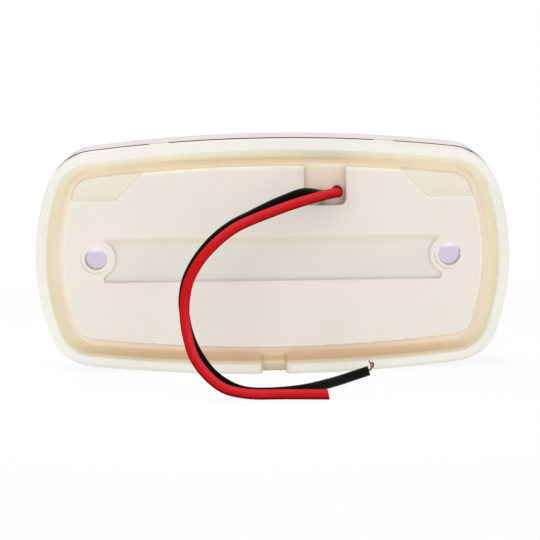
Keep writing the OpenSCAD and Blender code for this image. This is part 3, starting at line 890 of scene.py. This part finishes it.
RED_HIGHLIGHT, RED = srgb(232, 60, 68), srgb(207, 28, 32)
RED_SHADE, RED_HOLE_SHADE = srgb(118, 13, 21), srgb(156, 13, 20)
# The side of the lead that gets the painted highlight: above and a little to the right, as seen
# from behind. SLOT_DIM is how far behind the rear rim the painted shade by the slot fades
LIT_SIDE = Vector((-0.25, 0.2, 0.95)).normalized()
SLOT_DIM = 2 * MM, 4.5 * MM


def tint_lead(piece):
    """Keep a colour with each point of the red lead: a painted highlight on its lit side, and
    painted shade underneath, at its cut and where it comes out of its hole."""
    points = [vertex.co for vertex in piece.data.vertices]
    tones = piece.data.color_attributes.new("tone", "FLOAT_COLOR", "POINT")
    for start in range(0, len(points), LEAD_SIDES):
        ring = points[start:start + LEAD_SIDES]
        centre = sum(ring, Vector()) / LEAD_SIDES
        hole_shade = 1 - step(centre.y, *SLOT_DIM)
        for k, point in enumerate(ring):
            lit = (point - centre).normalized().dot(LIT_SIDE)
            tone = blend(RED_SHADE, RED, step(lit, -0.5, 0.15))
            tone = blend(tone, RED_HIGHLIGHT, step(lit, 0.35, 0.85))
            tone = blend(tone, RED_HOLE_SHADE, hole_shade)
            if (point - centre).length < 0.96 * WIRE_R:
                tone = RED_SHADE
            tones.data[start + k].color = (*tone, 1)


tint_lead(red_lead)
red_vinyl = Shade("red_vinyl", RED, 0.45, Specular_IOR_Level=0.0)
red_vinyl.toned(700, 0.9).bumped(1500, 0.01 * MM)
dress(red_vinyl.material, red_lead)
# The lead inside its hole is the red vinyl in painted shade
mottled_part("red_vinyl_in_shade", RED_HOLE_SHADE, 0.4, RED_SHADE, 700, [nodes["red_lead_in"]],
             Specular_IOR_Level=0.06)
mottled_part("black_vinyl", (0.003, 0.0025, 0.0025), 0.36, (0.006, 0.0045, 0.004), 700,
             [black_lead, nodes["black_lead_in"]], Specular_IOR_Level=0.03).bumped(1500, 0.01 * MM)
mottled_part("bare_copper", (0.3, 0.12, 0.09), 0.4, (0.12, 0.05, 0.05), 2500,
             [red_core, black_core, black_hairs, nodes["lead_in_strands"]], Metallic=1.0)
mottled_part("gasket_rubber", (0.03, 0.028, 0.027), 0.7, (0.045, 0.042, 0.04), 900, [gasket],
             Specular_IOR_Level=0.2).bumped(3000, 0.01 * MM)
mottled_part("board_laminate", (0.03, 0.17, 0.07), 0.28, (0.04, 0.2, 0.085), 260,
             [nodes["circuit_board"]]).bumped(1400, 0.008 * MM, (1, 1, 8))
mottled_part("diode_epoxy", (0.8, 0.08, 0.07), 0.08, (0.72, 0.06, 0.06), 500,
             [nodes["led_%d" % i] for i in range(1, 9)], Transmission_Weight=0.6, IOR=1.5)
mottled_part("tinned_steel", (0.6, 0.6, 0.61), 0.28, (0.52, 0.52, 0.53), 1800,
             [nodes["led_legs"], nodes["component_legs"]], Metallic=1.0)
mottled_part("solder", (0.66, 0.67, 0.68), 0.22, (0.5, 0.51, 0.53), 1200,
             [nodes["solder_joints"], nodes["wire_solder"]], Metallic=1.0)
mottled_part("zinc_screw", (0.58, 0.58, 0.6), 0.3, (0.5, 0.5, 0.52), 900,
             [nodes["board_screws"]], Metallic=1.0)
mottled_part("resistor_lacquer", (0.56, 0.36, 0.17), 0.35, (0.5, 0.32, 0.15), 800,
             [nodes["resistor_1"], nodes["resistor_2"]])
mottled_part("diode_moulding", (0.02, 0.02, 0.022), 0.4, (0.032, 0.032, 0.034), 800,
             [nodes["polarity_diode"]])
mottled_part("capacitor_sleeve", (0.015, 0.02, 0.07), 0.3, (0.02, 0.026, 0.085), 500,
             [nodes["capacitor"]])
mottled_part("wire_silicone", (0.72, 0.69, 0.6), 0.35, (0.68, 0.64, 0.55), 300,
             [nodes["wire_sealant"]], Subsurface_Weight=0.2).bumped(500, 0.05 * MM)


# ---------------------------------------------------------------- studio
WORLD_LEVEL = 0.5
FLOOR_HALF, FLOOR_DROP = 3.0, 0.05 * MM
# The lamp's shadow on the paper shows by this share near it, and fades out
SHADOW_SHARE, SHADOW_REACH = 0.14, (0.06, 0.2)
# The paper glows faintly around the lamp, as over a light table
GLOW, GLOW_REACH = 0.34, (0.04, 0.15)
# Painted shade on the paper in front of the lens, which the camera meets through the mounting
# holes.
# BEHIND_ASIDE fades it out for a camera that looks from the side, where it would be a stain
BEHIND_IN, BEHIND_OUT = (0.043, 0.048), (0.061, 0.066)
BEHIND_FAR = (-0.25, -0.235)
BEHIND_NEAR = (-0.178, -0.165)
BEHIND_ASIDE = (0.15, 0.3)
BEHIND_SHADE = srgb(208, 204, 219)


def add_floor():
    """White paper, on which only the lamp's near shadow and the painted shade behind it show."""
    half, z = FLOOR_HALF, FLOOR_Z - FLOOR_DROP
    corners = [(-half, -half, z), (half, -half, z), (half, half, z), (-half, half, z)]
    mesh = mesh_of("floor", corners, [(0, 1, 2, 3)])
    floor = bpy.data.objects.new("floor", mesh)
    bpy.context.scene.collection.objects.link(floor)
    shade = Shade("floor_paper", (0.93, 0.93, 0.93), 0.9)
    where = shade.node("ShaderNodeTexCoord").outputs["Object"]
    apart = shade.node("ShaderNodeSeparateXYZ")
    shade.link(where, apart.inputs[0])
    reach = shade.node("ShaderNodeVectorMath", operation="LENGTH")
    shade.link(where, reach.inputs[0])
    near = shade.span(reach.outputs["Value"], *SHADOW_REACH, SHADOW_SHARE, 0.0)
    shade.shader.inputs["Emission Color"].default_value = (1, 1, 1, 1)
    shade.link(shade.span(reach.outputs["Value"], *GLOW_REACH, GLOW, 0.0),
               shade.shader.inputs["Emission Strength"])
    facing = shade.node("ShaderNodeSeparateXYZ")
    shade.link(shade.node("ShaderNodeNewGeometry").outputs["Incoming"], facing.inputs[0])
    across = shade.maths("ABSOLUTE", apart.outputs["X"])
    aside = shade.maths("ABSOLUTE", facing.outputs["X"])
    behind = shade.span(across, *BEHIND_IN, 0.0, 1.0)
    for end in (shade.span(across, *BEHIND_OUT, 1.0, 0.0),
                shade.span(apart.outputs["Y"], *BEHIND_FAR, 0.0, 1.0),
                shade.span(apart.outputs["Y"], *BEHIND_NEAR, 1.0, 0.0),
                shade.span(aside, *BEHIND_ASIDE, 1.0, 0.0)):
        behind = shade.maths("MULTIPLY", behind, end)
    white = shade.node("ShaderNodeEmission")
    shade.link(shade.ramp(behind, [(0.0, (1, 1, 1)), (1.0, BEHIND_SHADE)]), white.inputs["Color"])
    camera_ray = shade.node("ShaderNodeLightPath").outputs["Is Camera Ray"]
    seen = shade.maths("MULTIPLY", camera_ray, shade.maths("SUBTRACT", 1.0, near))
    mixed = shade.node("ShaderNodeMixShader")
    shade.link(seen, mixed.inputs[0])
    shade.link(shade.shader.outputs[0], mixed.inputs[1])
    shade.link(white.outputs[0], mixed.inputs[2])
    shade.link(mixed.outputs[0], shade.tree.nodes["Material Output"].inputs["Surface"])
    dress(shade.material, floor)


def add_world():
    """An even light, which the camera, metal and glass see as white."""
    world = bpy.data.worlds.new("studio")
    bpy.context.scene.world = world
    world.use_nodes = True
    tree = world.node_tree
    light = tree.nodes["Background"]
    light.inputs["Color"].default_value = (1.0, 0.985, 0.96, 1)
    light.inputs["Strength"].default_value = WORLD_LEVEL
    white = tree.nodes.new("ShaderNodeBackground")
    white.inputs["Color"].default_value = (1, 1, 1, 1)
    rays = tree.nodes.new("ShaderNodeLightPath")
    seen = rays.outputs["Is Camera Ray"]
    for kind in ("Is Glossy Ray", "Is Transmission Ray"):
        either = tree.nodes.new("ShaderNodeMath")
        either.operation = "MAXIMUM"
        tree.links.new(seen, either.inputs[0])
        tree.links.new(rays.outputs[kind], either.inputs[1])
        seen = either.outputs[0]
    mixed = tree.nodes.new("ShaderNodeMixShader")
    tree.links.new(seen, mixed.inputs[0])
    tree.links.new(light.outputs[0], mixed.inputs[1])
    tree.links.new(white.outputs[0], mixed.inputs[2])
    tree.links.new(mixed.outputs[0], tree.nodes["World Output"].inputs["Surface"])


# Name, place, power in watts and colour of each lamp, which all aim at the object
LAMP_SIZE = 0.6
LAMPS = (("key", (0.3, 1.05, 0.3), 2.6, (1.0, 0.995, 0.985)),
         ("fill", (-0.5, 0.9, 0.1), 1.8, (1.0, 0.995, 0.985)),
         ("front", (0.3, -0.6, 0.9), 5.0, (1.0, 1.0, 1.0)))


def add_lamp(name, place, power, colour):
    data = bpy.data.lights.new(name, "AREA")
    data.shape = "SQUARE"
    data.size = LAMP_SIZE
    data.energy = power
    data.color = colour
    lamp = bpy.data.objects.new(name, data)
    lamp.rotation_euler = (-Vector(place)).to_track_quat("-Z", "Y").to_euler()
    lamp.location = place
    bpy.context.scene.collection.objects.link(lamp)


add_floor()
add_world()
for lamp in LAMPS:
    add_lamp(*lamp)
bpy.context.scene.view_settings.view_transform = "Standard"
